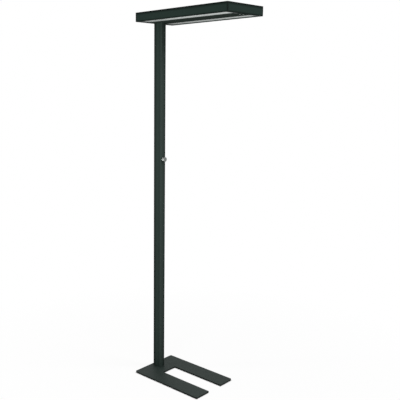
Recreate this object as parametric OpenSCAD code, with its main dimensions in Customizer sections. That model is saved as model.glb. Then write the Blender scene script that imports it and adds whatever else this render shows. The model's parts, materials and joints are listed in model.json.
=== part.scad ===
// Office floor lamp: U-shaped foot plate, extruded mast, flat head with light downwards and upwards.
// Millimetres, +Z up, +X towards the head's free end. The origin is on the floor, below the middle
// of the head's length and width. Sub-parts are drawn from the lamp's back edge, where X is zero.

/* [Overall] */
// Height from the floor to the top of the head
overall_h = 1950; // [1700:10:2100]

/* [Foot plate] */
// Length of the plate, back to front
foot_len = 440; // [380:5:520]
// Width of the plate
foot_w = 300; // [270:5:360]
// Thickness of the plate
foot_t = 8; // [6:0.5:12]
// Radius of the plate's outer corners
foot_corner_r = 8; // [3:1:20]
// Width of the slot between the prongs
slot_w = 100; // [70:2:120]
// Radius of the slot's inner corners
slot_corner_r = 3; // [2:1:10]
// Distance from the plate's back edge to the slot
slot_back = 118; // [95:1:160]
// Diameter of a pad under the plate
pad_d = 24; // [16:1:32]
// Thickness of a pad
pad_t = 2; // [1.5:0.5:4]
// Distance of the pads' centres from the plate's edges
pad_inset = 25; // [18:1:40]

/* [Mast] */
// Distance from the head's back edge to the mast
mast_setback = 13; // [12:1:30]
// Depth of the mast, along the head
mast_depth = 54; // [48:1:64]
// Width of the mast, across the head
mast_w = 34; // [30:1:44]
// Wall of the mast's extrusion
mast_wall = 2.5; // [2:0.25:3]
// Radius of the mast's outer edges
mast_edge_r = 3; // [1:0.5:4]
// Bore of the four screw ports inside the mast
port_d = 5.5; // [4.5:0.1:6]
// Wall around a screw port's bore
port_wall = 1.5; // [1:0.25:2]

/* [Mains inlet] */
// Height of the bushing's axis above the floor
bushing_z = 70; // [55:1:120]
// Diameter of the cord that the bushing takes
cord_d = 7; // [5:0.5:8]
// Diameter of the bushing's barrel
bushing_d = 10.8; // [10:0.1:11.5]
// Diameter of the bushing's flange
bushing_flange_d = 15; // [13:0.5:18]
// Height of the coupler's lower end above the bushing's axis
coupler_rise = 40; // [25:5:80]

/* [Dimmer] */
// Height of the dimmer's axis above the floor
knob_z = 1195; // [900:5:1300]
// Diameter of the knob
knob_d = 25; // [20:0.5:30]
// Length of the knob
knob_len = 13.5; // [12:0.5:18]
// Travel of the knob when it is pushed
push_travel = 1; // [0.5:0.1:1.5]
// Diameter of the dimmer's shaft
shaft_d = 6; // [5:0.1:6]
// Diameter of the threaded bush
bush_d = 7.6; // [7.5:0.1:9]

/* [Head] */
// Length of the head
head_len = 575; // [540:5:700]
// Width of the head
head_w = 280; // [270:2:340]
// Height of the head
head_h = 46; // [44:1:60]
// Outer wall of the rails
rail_wall = 2; // [1.5:0.25:2.5]
// Radius of the rails' outer edges
rail_edge_r = 1; // [0.5:0.25:1.5]
// Width of the rails' lips, wall included
lip_w = 8; // [8:0.5:10]
// Thickness of the lips, the spine's ledges and the cover strip
lip_t = 2; // [1.5:0.25:2.5]
// Depth of the lower diffusers behind the head's underside
reveal = 4; // [3:0.5:6]
// Height of a corner key
key_h = 19.6; // [12:0.2:20]
// Length of a corner key's legs
key_leg = 42; // [30:1:60]
// Width of the dark spine between the light strips
spine_w = 100; // [96:2:120]
// Thickness of the spine's floor between its walls
spine_floor_t = 4; // [3:0.5:5]
// Width of the dark strips that end the light strips
end_strip_w = 7; // [5:0.5:12]
// Thickness of a diffuser
diffuser_t = 3; // [2:0.5:4]
// Width of the flat web that carries the LED boards
web_w = 52; // [46:1:60]
// Number of LEDs along one board
led_count = 20; // [10:1:24]

/* [Head contents] */
// Length of the driver's case
driver_len = 280; // [200:10:300]
// Width of the driver's case
driver_w = 38; // [34:1:40]
// Height of the driver's case
driver_h = 26; // [24:1:28]
// Distance from the head's back edge to the driver's case
driver_x = 152; // [150:1:170]
// Diameter of the presence sensor's lens
presence_d = 12; // [8:0.5:14]
// Diameter of the daylight sensor's lens
daylight_d = 5; // [4:0.5:6]

/* [Hidden] */
$fn = 48;

// Colours of the finishes
anthracite = "#2c3532";
satin_steel = "#b9bdbc";
zinc = "#9aa0a2";
reflector_white = "#f2f2ee";
opal = "#e4e6e2";
rubber_black = "#1b1c1c";
moulded_black = "#26292a";
moulded_grey = "#8d9291";
board_green = "#2f6b4a";
lead_grey = "#5b6062";

// Clearances
slide_gap = 0.1;      // between pieces that slide together when the lamp is built
thread_gap = 0.05;    // around a screw's core in its thread
screw_gap = 0.3;      // around a screw that passes through
run_gap = 0.05;       // around a shaft that turns or slides
seat_gap = 0.5;       // around a diffuser or a lens in its opening

// Bevels
pad_bevel = 0.5;

// Levels and places
back_x = -max(head_len, foot_len) / 2;
plate_top = pad_t + foot_t;
head_z = overall_h - head_h;
mast_x = mast_setback + mast_depth / 2;
mast_front_x = mast_setback + mast_depth;
mast_len = head_z - plate_top;
port_x = mast_depth / 2 - mast_wall - port_d / 2;
port_y = mast_w / 2 - mast_wall - port_d / 2;
cavity_w = mast_w - 2 * mast_wall;
channel_w = 2 * (port_y - port_d / 2 - port_wall);
port_core_r = port_d / 2 - thread_gap;

// Screws
port_screw_head_r = 5;
port_screw_head_h = 5;
port_screw_reach = 30;
port_hex_r = 2.6;
countersink_r = 5.8;
countersink_h = 3.2;
countersink_hex_r = 2.3;
m4_core_r = 1.95;
m4_head_r = 3.5;
m4_head_h = 2.4;
m3_core_r = 1.45;
m3_head_r = 2.8;
m3_head_h = 2;
screw_tip_gap = 1;    // from a blind screw's tip to the outside
cover_head_r = 2.9;
cover_head_h = 1.3;
cover_screw_x = 90;
set_screw_r = 2;
set_screw_len = 4;

// Rail profile
rib_t = 1.5;          // of the rib on a lower lip or ledge, on which the diffuser rests
channel_deep = 2.5;
hook_t = 1.5;
hook_h = 2;
channel_h = key_h + 2 * slide_gap;
channel_reach = rail_wall + channel_deep + hook_t;
mid_h = head_h / 2;
key_t = channel_deep - 2 * slide_gap;

// Spine and light chambers
ledge_w = 6;
spine_wall_t = 2;
spine_wall_y = spine_w / 2 - ledge_w;
spine_room_y = spine_wall_y - spine_wall_t;
flange_w = 6;
flange_t = 2;
beam_x = lip_w + slide_gap;
beam_len = head_len - 2 * beam_x;
bracket_t = 2;
bracket_ear = 28;
bracket_h = 22;
bracket_screw_y = 25;
bracket_ear_screw = 20;
strip_in = spine_w / 2;
strip_out = head_w / 2 - lip_w;
strip_mid = (strip_in + strip_out) / 2;
cap_x = lip_w + 1;
cap_t = 2.5;
chamber_x = cap_x + cap_t;
chamber_len = head_len - 2 * chamber_x;
chamber_lap = 2;      // of a chamber's edges over the lips and ledges
chamber_edge = (strip_out - strip_in) / 2 + chamber_lap;
reflector_t = 1.4;
web_t = 2;
board_t = 1.6;
board_w = web_w - 12;
board_end = 8;
led_w = 5;
led_t = 0.8;
led_end = 12;

// Mains coupler inside the mast's foot
coupler_size = [22, 20, 42];
coupler_setback = 6;
socket_deep = 17;
socket_r = 1.8;

// Mast plate, cable slot and leads
mast_plate_t = 4;
mast_plate_w = 2 * spine_room_y - 4;
mast_plate_len = mast_depth + 8;
lead_x = -10;
control_x = mast_depth / 2 - mast_wall - 16.5;
cable_slot_r = 5;
mains_r = cord_d / 2;
control_r = 1.6;
board_lead_r = 1.5;
driver_lead_r = 2.4;
lead_bend = 8;
lead_z = spine_floor_t + mast_plate_t + 9;
control_z = spine_floor_t + mast_plate_t + 2.6;
control_y = port_y + port_screw_head_r + control_r + 0.3;

// Dimmer, measured along its axis from the mast's front face
can_w = 12;
can_depth = 11;
can_wall = 1;
dimmer_board_len = 40;
relay_size = [8, 8, 4];
relay_at = -14;
chip_size = [7, 7, 1.2];
chip_at = 12;
switch_pocket = 4.2;
switch_w = 7.4;
switch_t = 3;
dimmer_board_z = -mast_wall - can_depth - board_t;
washer_t = 0.5;
washer_rim = 2.3;
nut_t = 2;
nut_rim = 2.2;
bush_out = washer_t + nut_t + 0.7;
collar_r = shaft_d / 2 + 0.9;
collar_t = 1.5;
collar_front = -mast_wall - 3.4;
shaft_back = -mast_wall - 6;
knob_back = push_travel + 0.5;
knob_recess = 4.2;
knob_recess_r = bush_d / 2 + 3;
knob_front_wall = 2.5;
knob_screw_z = (knob_recess + knob_len - knob_front_wall) / 2;
knob_screw_r = 1.5;
knob_screw_len = 6;
shaft_flat = 0.6;
plunger_r = 1.5;
plunger_len = 3.2;

// Driver, terminal block and sensors
ear_len = 12;
ear_t = 2;
ear_screw_y = 10;
terminal_x = 96;
terminal_size = [30, 20, 20];
board_lead_x = driver_x + driver_len + 20;
presence_at = [head_len - 26, -10];
daylight_at = [head_len - 16, 3];
presence_dome_h = 1.2;
daylight_dome_h = 0.6;
sensor_box = [42, 40, 12];
sensor_x = head_len - sensor_box[0] - 10;
sensor_wall = 1.5;

// A rectangle from the origin with its four corners rounded
module rounded_rect(size, r) {
    translate([r, 0])
        square([size[0] - 2 * r, size[1]]);
    translate([0, r])
        square([size[0], size[1] - 2 * r]);
    for (x = [r, size[0] - r], y = [r, size[1] - r])
        translate([x, y])
            circle(r);
}

// The same rectangle, centred
module centred_rounded_rect(size, r) {
    translate([-size[0] / 2, -size[1] / 2])
        rounded_rect(size, r);
}

// Places a sub-part that is drawn from the lamp's back edge and the floor
module on_floor() {
    translate([back_x, 0, 0])
        children();
}

// Places a sub-part that is drawn from the head's back edge and its underside
module in_head() {
    translate([back_x, 0, head_z])
        children();
}

// Extrudes a profile drawn in Y and Z along +X
module along_x(length) {
    rotate([90, 0, 90])
        linear_extrude(length)
            children();
}

// Copies what is drawn on the far side to the near side too
module both_sides() {
    children();
    mirror([0, 1, 0])
        children();
}

// Copies what is drawn at the mast end of the head to the free end too
module both_ends() {
    children();
    translate([head_len, 0, 0])
        mirror([1, 0, 0])
            children();
}

// A round lead through a list of points, with ball joints at its bends
module lead(points, r) {
    for (i = [0 : len(points) - 2]) {
        step = points[i + 1] - points[i];
        reach = norm(step);
        translate(points[i])
            rotate([0, acos(step[2] / reach), atan2(step[1], step[0])])
                cylinder(h = reach, r = r);
    }
    for (i = [1 : 1 : len(points) - 2])
        translate(points[i])
            sphere(r);
}

// A hexagon recess that opens towards -Z
module hex_recess(r, depth) {
    translate([0, 0, -1])
        cylinder(h = depth + 1, r = r, $fn = 6);
}

// A headless screw from its tip along +Z, with its recess at the far end
module set_screw(r, length) {
    difference() {
        cylinder(h = length, r = r);
        translate([0, 0, length])
            mirror([0, 0, 1])
                hex_recess(0.55 * r, 0.4 * length);
    }
}

// A pan head screw from its seat along +Z
module pan_screw(core_r, head_r, head_h, reach) {
    difference() {
        union() {
            cylinder(h = reach, r = core_r);
            translate([0, 0, -head_h])
                cylinder(h = head_h, r1 = head_r - 0.6, r2 = head_r);
        }
        translate([0, 0, -head_h])
            hex_recess(0.45 * head_r, 0.6 * head_h);
    }
}

// The four screw port positions around the mast's axis
module at_ports() {
    for (x = [-port_x, port_x], y = [-port_y, port_y])
        translate([mast_x + x, y, 0])
            children();
}

// Slot through which the leads pass from the mast into the head
module cable_slot_outline() {
    translate([mast_x + lead_x, 0])
        circle(cable_slot_r);
    translate([mast_x + control_x, 0])
        circle(cable_slot_r);
    translate([mast_x + lead_x, -cable_slot_r])
        square([control_x - lead_x, 2 * cable_slot_r]);
}

// ---- Foot ----

module foot_outline() {
    difference() {
        translate([0, -foot_w / 2])
            rounded_rect([foot_len, foot_w], foot_corner_r);
        translate([slot_back, -slot_w / 2])
            rounded_rect([foot_len, slot_w], slot_corner_r);
    }
}

module base_plate() {
    color(anthracite)
        on_floor()
            difference() {
                translate([0, 0, pad_t])
                    linear_extrude(foot_t)
                        foot_outline();
                at_ports()
                    translate([0, 0, pad_t - 1])
                        cylinder(h = foot_t + 2, r = port_d / 2 + screw_gap);
                at_ports()
                    translate([0, 0, pad_t - 1])
                        cylinder(h = countersink_h + 1, r1 = countersink_r + screw_gap + 1,
                                 r2 = port_d / 2 + screw_gap);
            }
}

module base_pads() {
    pad_y = foot_w / 2 - pad_inset;
    color(rubber_black)
        on_floor()
            for (x = [pad_inset, foot_len / 2, foot_len - pad_inset], y = [-pad_y, pad_y])
                translate([x, y, 0]) {
                    cylinder(h = pad_bevel, d1 = pad_d - 2 * pad_bevel, d2 = pad_d);
                    translate([0, 0, pad_bevel])
                        cylinder(h = pad_t - pad_bevel, d = pad_d);
                }
}

module base_screws() {
    color(zinc)
        on_floor()
            at_ports()
                translate([0, 0, pad_t])
                    difference() {
                        union() {
                            cylinder(h = countersink_h, r1 = countersink_r, r2 = port_core_r);
                            cylinder(h = foot_t + port_screw_reach, r = port_core_r);
                        }
                        hex_recess(countersink_hex_r, 2);
                    }
}

// ---- Mast ----

module mast_profile() {
    difference() {
        centred_rounded_rect([mast_depth, mast_w], mast_edge_r);
        difference() {
            square([mast_depth - 2 * mast_wall, cavity_w], center = true);
            for (x = [-port_x, port_x], y = [-port_y, port_y])
                translate([x, y])
                    circle(port_d / 2 + port_wall);
        }
        for (x = [-port_x, port_x], y = [-port_y, port_y])
            translate([x, y])
                circle(port_d / 2);
    }
}

module mast() {
    color(anthracite)
        on_floor()
            difference() {
                translate([mast_x, 0, plate_top])
                    linear_extrude(mast_len)
                        mast_profile();
                translate([mast_setback - 1, 0, bushing_z])
                    rotate([0, 90, 0])
                        cylinder(h = mast_wall + 2, d = bushing_d + 2 * slide_gap);
                translate([mast_front_x - mast_wall - 1, 0, knob_z])
                    rotate([0, 90, 0])
                        cylinder(h = mast_wall + 2, d = bush_d + 2 * slide_gap);
            }
}

// Strain relief bushing: flange outside, barrel through the wall, snap ring behind it
module cable_bushing() {
    barrel_in = mast_wall + 6;
    rim_t = 2.5;
    rim_bevel = 1;
    snap_gap = 0.1;
    snap_t = 1.8;
    snap_relief = 0.8;
    color(moulded_black)
        on_floor()
            translate([mast_setback, 0, bushing_z])
                rotate([0, -90, 0])
                    difference() {
                        union() {
                            cylinder(h = rim_t - rim_bevel, d = bushing_flange_d);
                            translate([0, 0, rim_t - rim_bevel])
                                cylinder(h = rim_bevel, d1 = bushing_flange_d,
                                         d2 = bushing_flange_d - 2 * rim_bevel);
                            translate([0, 0, -barrel_in])
                                cylinder(h = barrel_in + 1, d = bushing_d);
                            translate([0, 0, -mast_wall - snap_gap - snap_t])
                                cylinder(h = snap_t, d1 = bushing_d, d2 = channel_w - snap_relief);
                        }
                        translate([0, 0, -barrel_in - 1])
                            cylinder(h = barrel_in + rim_t + 2, d = cord_d + seat_gap);
                    }
}

// Coupler on the mast's inner wall, with three sockets for the mains cord below
module mains_coupler() {
    socket_pitch = coupler_size[1] / 4;
    color(moulded_grey)
        on_floor()
            translate([mast_x + lead_x - coupler_setback, -cavity_w / 2 + slide_gap,
                       bushing_z + coupler_rise])
                difference() {
                    cube(coupler_size);
                    for (i = [1 : 3])
                        translate([coupler_size[0] / 2, i * socket_pitch, -1])
                            cylinder(h = socket_deep + 1, r = socket_r);
                }
}

module mains_lead() {
    start_z = bushing_z + coupler_rise + coupler_size[2];
    color(lead_grey)
        translate([back_x, 0, 0])
            lead([[mast_x + lead_x, 0, start_z],
                  [mast_x + lead_x, 0, head_z + lead_z - lead_bend],
                  [mast_x + lead_x + 0.375 * lead_bend, 0, head_z + lead_z - 0.375 * lead_bend],
                  [mast_x + lead_x + lead_bend, 0, head_z + lead_z],
                  [terminal_x, 0, head_z + lead_z]], mains_r);
}

// ---- Dimmer ----

// Places a dimmer piece: its axis along +X, zero at the mast's front face
module on_dimmer_axis() {
    translate([back_x + mast_front_x, 0, knob_z])
        rotate([0, 90, 0])
            children();
}

module centred_box(size, low) {
    translate([-size[0] / 2, -size[1] / 2, low])
        cube(size);
}

module dimmer_housing() {
    color(zinc)
        on_dimmer_axis()
            difference() {
                union() {
                    centred_box([can_w, can_w, can_depth], -mast_wall - can_depth);
                    translate([0, 0, -mast_wall - 1])
                        cylinder(h = mast_wall + 1 + bush_out, d = bush_d);
                }
                translate([0, 0, -mast_wall - can_depth - 1])
                    cylinder(h = can_depth + mast_wall + bush_out + 2, d = shaft_d + 2 * run_gap);
                translate([0, 0, -mast_wall - can_depth + can_wall])
                    cylinder(h = can_depth - can_wall + collar_front + slide_gap + mast_wall,
                             r = collar_r + 2 * slide_gap);
                centred_box([switch_w + 2 * screw_gap, switch_w + 2 * screw_gap, switch_pocket + 1],
                            -mast_wall - can_depth - 1);
            }
}

module dimmer_board() {
    color(board_green)
        on_dimmer_axis() {
            centred_box([dimmer_board_len, channel_w - 4 * slide_gap, board_t], dimmer_board_z);
            translate([relay_at, 0, 0])
                centred_box(relay_size, dimmer_board_z - relay_size[2]);
            translate([chip_at, 0, 0])
                centred_box(chip_size, dimmer_board_z - chip_size[2]);
        }
}

module push_switch() {
    color(moulded_black)
        on_dimmer_axis()
            difference() {
                centred_box([switch_w, switch_w, switch_t], -mast_wall - can_depth);
                translate([0, 0, -mast_wall - can_depth + 0.5])
                    cylinder(h = switch_t, r = plunger_r + run_gap);
            }
}

module push_plunger() {
    color(satin_steel)
        on_dimmer_axis()
            translate([0, 0, shaft_back - slide_gap - plunger_len])
                cylinder(h = plunger_len, r = plunger_r);
}

module dimmer_shaft() {
    shaft_front = knob_back + knob_len - knob_front_wall - 0.3;
    color(satin_steel)
        on_dimmer_axis()
            difference() {
                union() {
                    translate([0, 0, shaft_back])
                        cylinder(h = shaft_front - shaft_back, d = shaft_d);
                    translate([0, 0, collar_front - collar_t])
                        cylinder(h = collar_t, r = collar_r);
                }
                translate([shaft_d / 2 - shaft_flat, -shaft_d / 2, knob_back + knob_recess])
                    cube([shaft_d, shaft_d, knob_len]);
            }
}

module dimmer_washer() {
    color(zinc)
        on_dimmer_axis()
            difference() {
                cylinder(h = washer_t, r = bush_d / 2 + washer_rim);
                translate([0, 0, -1])
                    cylinder(h = washer_t + 2, r = bush_d / 2 + slide_gap);
            }
}

module dimmer_nut() {
    color(zinc)
        on_dimmer_axis()
            translate([0, 0, washer_t])
                difference() {
                    cylinder(h = nut_t, r = bush_d / 2 + nut_rim, $fn = 6);
                    translate([0, 0, -1])
                        cylinder(h = nut_t + 2, r = bush_d / 2 + thread_gap);
                }
}

// Turned knob: recess over the nut, hub on the shaft, stepped and bevelled front
module dimmer_knob() {
    knob_r = knob_d / 2;
    back_bevel = 0.4;
    groove_at = 3;
    groove_w = 0.6;
    groove_deep = 0.5;
    groove_slope = 0.3;
    bevel = 1.2;
    rim_r = knob_r - bevel - 1.5;
    dish_deep = 0.5;
    dish_slope = 0.8;
    color(satin_steel)
        on_dimmer_axis()
            translate([0, 0, knob_back])
                difference() {
                    rotate_extrude()
                        polygon([[0, 0], [knob_r - back_bevel, 0], [knob_r, back_bevel],
                                 [knob_r, groove_at],
                                 [knob_r - groove_deep, groove_at + groove_slope],
                                 [knob_r - groove_deep, groove_at + groove_slope + groove_w],
                                 [knob_r, groove_at + 2 * groove_slope + groove_w],
                                 [knob_r, knob_len - bevel], [knob_r - bevel, knob_len],
                                 [rim_r, knob_len], [rim_r - dish_slope, knob_len - dish_deep],
                                 [0, knob_len - dish_deep]]);
                    translate([0, 0, -1])
                        cylinder(h = knob_recess + 1, r = knob_recess_r);
                    cylinder(h = knob_len - knob_front_wall, d = shaft_d + 2 * thread_gap);
                    translate([0, 0, knob_screw_z])
                        rotate([0, 90, 0])
                            cylinder(h = knob_d, r = knob_screw_r + thread_gap);
                }
}

module knob_set_screw() {
    color(zinc)
        on_dimmer_axis()
            translate([shaft_d / 2 - shaft_flat, 0, knob_back + knob_screw_z])
                rotate([0, 90, 0])
                    set_screw(knob_screw_r, knob_screw_len);
}

// Control lead, from the relay's top on the dimmer's board to the driver
module control_lead() {
    start_z = knob_z - relay_at + relay_size[0] / 2;
    color(lead_grey)
        translate([back_x, 0, 0])
            lead([[mast_x + control_x, 0, start_z],
                  [mast_x + control_x, 0, head_z + control_z],
                  [mast_x + control_x, control_y, head_z + control_z],
                  [driver_x, control_y, head_z + control_z]], control_r);
}

// ---- Rails of the head ----

// Section of a rail: outer wall, ribbed lip below, lip above, and a channel for the corner keys
module rail_profile() {
    intersection() {
        union() {
            square([rail_wall, head_h]);
            square([lip_w, lip_t]);
            translate([lip_w - rib_t, 0])
                square([rib_t, reveal]);
            translate([0, head_h - lip_t])
                square([lip_w, lip_t]);
        }
        rounded_rect([2 * lip_w, head_h], rail_edge_r);
    }
    for (side = [0, 1])
        translate([0, mid_h])
            mirror([0, side])
                translate([0, channel_h / 2]) {
                    square([channel_reach, hook_t]);
                    translate([channel_reach - hook_t, -hook_h])
                        square([hook_t, hook_h + hook_t]);
                }
}

// A rail along +X with its outer face on Y = 0, cut at 45 degrees at both ends
module mitred_rail(length) {
    intersection() {
        along_x(length)
            rail_profile();
        translate([0, 0, -1])
            linear_extrude(head_h + 2)
                polygon([[0, 0], [length, 0], [length - lip_w, lip_w], [lip_w, lip_w]]);
    }
}

module rail_near() {
    color(anthracite)
        in_head()
            translate([0, -head_w / 2, 0])
                mitred_rail(head_len);
}

module rail_far() {
    color(anthracite)
        in_head()
            mirror([0, 1, 0])
                translate([0, -head_w / 2, 0])
                    mitred_rail(head_len);
}

module rail_mast_end() {
    color(anthracite)
        in_head()
            translate([0, head_w / 2, 0])
                rotate([0, 0, -90])
                    mitred_rail(head_w);
}

module rail_free_end() {
    color(anthracite)
        in_head()
            translate([head_len, -head_w / 2, 0])
                rotate([0, 0, 90])
                    mitred_rail(head_w);
}

// Places a piece drawn for the far corner at the mast end at all four corners
module at_corners() {
    both_ends()
        both_sides()
            translate([0, head_w / 2, mid_h])
                mirror([0, 1, 0])
                    children();
}

// The two set screws of a key, one in each leg
module key_screw_axes() {
    key_screw_at = key_leg * 0.65;
    translate([key_screw_at, rail_wall, 0])
        rotate([-90, 0, 0])
            children();
    translate([rail_wall, key_screw_at, 0])
        rotate([0, 90, 0])
            children();
}

module corner_keys() {
    k = rail_wall + slide_gap;
    color(zinc)
        in_head()
            at_corners()
                difference() {
                    translate([0, 0, -key_h / 2])
                        linear_extrude(key_h) {
                            translate([k, k])
                                square([key_leg, key_t]);
                            translate([k, k])
                                square([key_t, key_leg]);
                        }
                    key_screw_axes()
                        cylinder(h = key_t + 1, r = set_screw_r + thread_gap);
                }
}

module key_screws() {
    color(zinc)
        in_head()
            at_corners()
                key_screw_axes()
                    set_screw(set_screw_r, set_screw_len);
}

// ---- Spine ----

// Section of the spine: thick floor, ribbed ledges for the diffusers, walls with flanges at their tops
module spine_profile() {
    translate([-spine_w / 2, 0])
        square([spine_w, lip_t]);
    translate([-spine_wall_y, 0])
        square([2 * spine_wall_y, spine_floor_t]);
    for (side = [0, 1])
        mirror([side, 0]) {
            translate([spine_w / 2 - rib_t, 0])
                square([rib_t, reveal]);
            translate([spine_room_y, 0])
                square([spine_wall_t, head_h - lip_t]);
            translate([spine_room_y - flange_w, head_h - lip_t - flange_t])
                square([flange_w + 1, flange_t]);
        }
}

// Screws through the brackets' ears into the spine's walls
module ear_screw_axes() {
    both_ends()
        both_sides()
            translate([channel_reach + bracket_ear_screw, spine_room_y - bracket_t, mid_h])
                rotate([-90, 0, 0])
                    children();
}

// Screws through the brackets' faces into the slide nuts
module face_screw_axes() {
    both_ends()
        both_sides()
            translate([channel_reach + bracket_t, bracket_screw_y, mid_h])
                rotate([0, -90, 0])
                    children();
}

// Screws that hold the cover strip on the spine's flanges
module cover_screw_axes() {
    both_ends()
        both_sides()
            translate([cover_screw_x, spine_room_y - flange_w / 2, head_h])
                rotate([180, 0, 0])
                    children();
}

// Screws that hold the driver's ears on the spine's floor
module driver_screw_axes() {
    for (x = [driver_x - ear_len / 2, driver_x + driver_len + ear_len / 2], y = [-ear_screw_y, ear_screw_y])
        translate([x, y, spine_floor_t + ear_t])
            rotate([180, 0, 0])
                children();
}

module spine_beam() {
    color(anthracite)
        in_head()
            difference() {
                translate([beam_x, 0, 0])
                    along_x(beam_len)
                        spine_profile();
                at_ports()
                    translate([0, 0, -1])
                        cylinder(h = spine_floor_t + 2, r = port_d / 2 + screw_gap);
                translate([0, 0, -1])
                    linear_extrude(spine_floor_t + 2)
                        cable_slot_outline();
                translate([presence_at[0], presence_at[1], -1])
                    cylinder(h = spine_floor_t + 2, d = presence_d + seat_gap);
                translate([daylight_at[0], daylight_at[1], -1])
                    cylinder(h = spine_floor_t + 2, d = daylight_d + seat_gap);
                ear_screw_axes()
                    cylinder(h = bracket_t + spine_wall_t + 1, r = m4_core_r + thread_gap);
                cover_screw_axes()
                    translate([0, 0, lip_t - 0.5])
                        cylinder(h = 4, r = m3_core_r + thread_gap);
                driver_screw_axes()
                    cylinder(h = ear_t + spine_floor_t - screw_tip_gap + slide_gap,
                             r = m3_core_r + thread_gap);
                both_sides()
                    translate([board_lead_x, spine_room_y - 1, mid_h])
                        rotate([-90, 0, 0])
                            cylinder(h = spine_wall_t + 2, r = board_lead_r + 1);
            }
}

// U-shaped brackets that hang the spine on the end rails
module spine_brackets() {
    color(zinc)
        in_head()
            difference() {
                both_ends()
                    translate([0, 0, mid_h - bracket_h / 2]) {
                        translate([channel_reach, -spine_room_y, 0])
                            cube([bracket_t, 2 * spine_room_y, bracket_h]);
                        both_sides()
                            translate([channel_reach, spine_room_y - bracket_t, 0])
                                cube([bracket_ear, bracket_t, bracket_h]);
                    }
                ear_screw_axes()
                    translate([0, 0, -1])
                        cylinder(h = bracket_t + 2, r = m4_core_r + screw_gap);
                face_screw_axes()
                    translate([0, 0, -1])
                        cylinder(h = bracket_t + 2, r = m4_core_r + screw_gap);
            }
}

module slide_nuts() {
    nut_end = 8;
    nut_w = 2 * (bracket_screw_y + nut_end);
    color(zinc)
        in_head()
            difference() {
                both_ends()
                    translate([rail_wall + slide_gap, -nut_w / 2, mid_h - key_h / 2])
                        cube([key_t, nut_w, key_h]);
                face_screw_axes()
                    cylinder(h = channel_reach, r = m4_core_r + thread_gap);
            }
}

module bracket_screws() {
    color(zinc)
        in_head() {
            ear_screw_axes()
                pan_screw(m4_core_r, m4_head_r, m4_head_h, bracket_t + spine_wall_t);
            face_screw_axes()
                pan_screw(m4_core_r, m4_head_r, m4_head_h,
                          bracket_t + channel_reach - rail_wall - 2 * slide_gap);
        }
}

module mast_plate() {
    color(zinc)
        in_head()
            difference() {
                translate([mast_x - mast_plate_len / 2, -mast_plate_w / 2, spine_floor_t])
                    cube([mast_plate_len, mast_plate_w, mast_plate_t]);
                at_ports()
                    translate([0, 0, spine_floor_t - 1])
                        cylinder(h = mast_plate_t + 2, r = port_d / 2 + screw_gap);
                translate([0, 0, spine_floor_t - 1])
                    linear_extrude(mast_plate_t + 2)
                        cable_slot_outline();
            }
}

module head_screws() {
    seat = spine_floor_t + mast_plate_t;
    color(zinc)
        in_head()
            at_ports()
                difference() {
                    union() {
                        translate([0, 0, -port_screw_reach + foot_t])
                            cylinder(h = seat + port_screw_reach - foot_t, r = port_core_r);
                        translate([0, 0, seat])
                            cylinder(h = port_screw_head_h, r = port_screw_head_r);
                    }
                    translate([0, 0, seat + port_screw_head_h])
                        mirror([0, 0, 1])
                            hex_recess(port_hex_r, 0.6 * port_screw_head_h);
                }
}

// ---- Light chambers ----

// Section of a chamber around its middle: a web between two walls that slope out to the diffusers
module chamber_profile() {
    waist = web_w / 2;
    top = mid_h - lip_t - diffuser_t;
    low = reveal + diffuser_t - mid_h;
    half = [[waist - reflector_t, -web_t / 2], [chamber_edge - reflector_t, low], [chamber_edge, low],
            [waist, -web_t / 2], [waist, web_t / 2],
            [chamber_edge, top], [chamber_edge - reflector_t, top], [waist - reflector_t, web_t / 2]];
    other_half = [for (i = [len(half) - 1 : -1 : 0]) [-half[i][0], half[i][1]]];
    polygon(concat(half, other_half));
}

module far_chamber() {
    translate([chamber_x, strip_mid, mid_h])
        along_x(chamber_len)
            chamber_profile();
}

module chamber_near() {
    color(reflector_white)
        in_head()
            mirror([0, 1, 0])
                far_chamber();
}

module chamber_far() {
    color(reflector_white)
        in_head()
            far_chamber();
}

// Moulded caps: each closes a chamber's end and frames the light strips' ends above and below
module chamber_end_caps() {
    cap_in = spine_wall_y + 1;
    cap_out = head_w / 2 - channel_reach - seat_gap;
    strip_x = lip_w + slide_gap;
    strip_len = lip_w + end_strip_w - strip_x;
    color(anthracite)
        in_head()
            both_ends()
                both_sides() {
                    translate([cap_x, cap_in, reveal])
                        cube([cap_t, cap_out - cap_in, head_h - reveal - lip_t]);
                    translate([strip_x, strip_in + slide_gap, 0])
                        cube([strip_len, strip_out - strip_in - 2 * slide_gap, reveal]);
                    translate([strip_x, strip_in + slide_gap, head_h - lip_t])
                        cube([strip_len, strip_out - strip_in - 2 * slide_gap, lip_t]);
                }
}

// A board on the far chamber's web, LEDs facing away from the web
module far_board() {
    led_run = chamber_len - 2 * board_end - 2 * led_end;
    translate([chamber_x + board_end, strip_mid - board_w / 2, web_t / 2])
        cube([chamber_len - 2 * board_end, board_w, board_t]);
    for (i = [0 : led_count - 1])
        translate([chamber_x + board_end + led_end + led_run * i / (led_count - 1), strip_mid,
                   web_t / 2 + board_t])
            translate([-led_w / 2, -led_w / 2, 0])
                cube([led_w, led_w, led_t]);
}

module up_board_far() {
    color(reflector_white)
        in_head()
            translate([0, 0, mid_h])
                far_board();
}

module up_board_near() {
    color(reflector_white)
        in_head()
            translate([0, 0, mid_h])
                mirror([0, 1, 0])
                    far_board();
}

module down_board_far() {
    color(reflector_white)
        in_head()
            translate([0, 0, mid_h])
                mirror([0, 0, 1])
                    far_board();
}

module down_board_near() {
    color(reflector_white)
        in_head()
            translate([0, 0, mid_h])
                mirror([0, 0, 1])
                    mirror([0, 1, 0])
                        far_board();
}

// A diffuser over the far strip
module far_diffuser() {
    in_y = spine_wall_y + seat_gap;
    out_y = head_w / 2 - rail_wall - seat_gap;
    end_x = chamber_x + 0.3;
    color(opal)
        translate([end_x, in_y, 0])
            cube([head_len - 2 * end_x, out_y - in_y, diffuser_t]);
}

module down_diffuser_far() {
    in_head()
        translate([0, 0, reveal])
            far_diffuser();
}

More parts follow.
